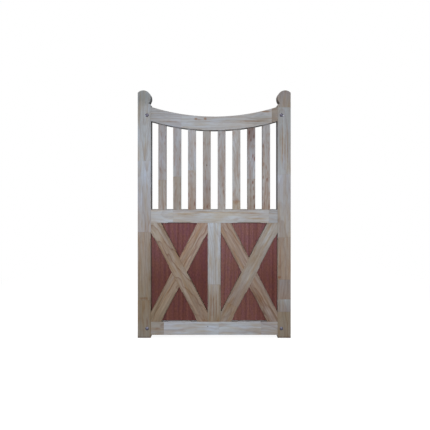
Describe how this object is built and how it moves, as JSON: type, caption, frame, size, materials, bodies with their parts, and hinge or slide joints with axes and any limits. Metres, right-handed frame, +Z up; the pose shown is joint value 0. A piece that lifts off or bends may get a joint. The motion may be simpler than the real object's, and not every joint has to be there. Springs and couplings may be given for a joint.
{
  "type": "garden gate",
  "caption": "Framed timber garden gate leaf with a dipped top rail, upright pickets above the middle rail and cross-braced plywood panels below.",
  "frame": {"origin": "middle of the foot line: halfway between the stiles, in the middle of the frame's thickness, level with the undersides of the stile feet", "axes": "X runs across the gate from the left stile to the right stile as seen from the braced face, Y runs through its thickness from the braced face to the plain back, Z is up"},
  "size_m": [1.045, 0.0528, 1.6899],
  "materials": {
    "stile_pine": "bare planed pine, finger-jointed",
    "rail_pine": "bare planed pine, finger-jointed",
    "brace_pine": "bare planed pine with bold grain",
    "picket_pine": "bare planed pine, slightly pink",
    "plywood": "bare red-brown plywood with upright ribbon grain",
    "bolt_steel": "dull zinc",
    "screw_steel": "bright zinc"
  },
  "bodies": {
    "root": {"left_stile": "stile_pine", "right_stile": "stile_pine", "top_rail": "rail_pine", "mid_rail": "rail_pine", "bottom_rail": "rail_pine", "muntin": "rail_pine", "picket_1": "picket_pine", "picket_2": "picket_pine", "picket_3": "picket_pine", "picket_4": "picket_pine", "picket_5": "picket_pine", "picket_6": "picket_pine", "picket_7": "picket_pine", "picket_8": "picket_pine", "left_panel": "plywood", "right_panel": "plywood", "left_falling_brace": "brace_pine", "left_rising_brace": "brace_pine", "right_rising_brace": "brace_pine", "right_falling_brace": "brace_pine", "corner_bolts": "bolt_steel", "bolt_washers": "bolt_steel", "bolt_nuts": "bolt_steel", "left_panel_screws": "screw_steel", "right_panel_screws": "screw_steel"}
  },
  "joints": []
}
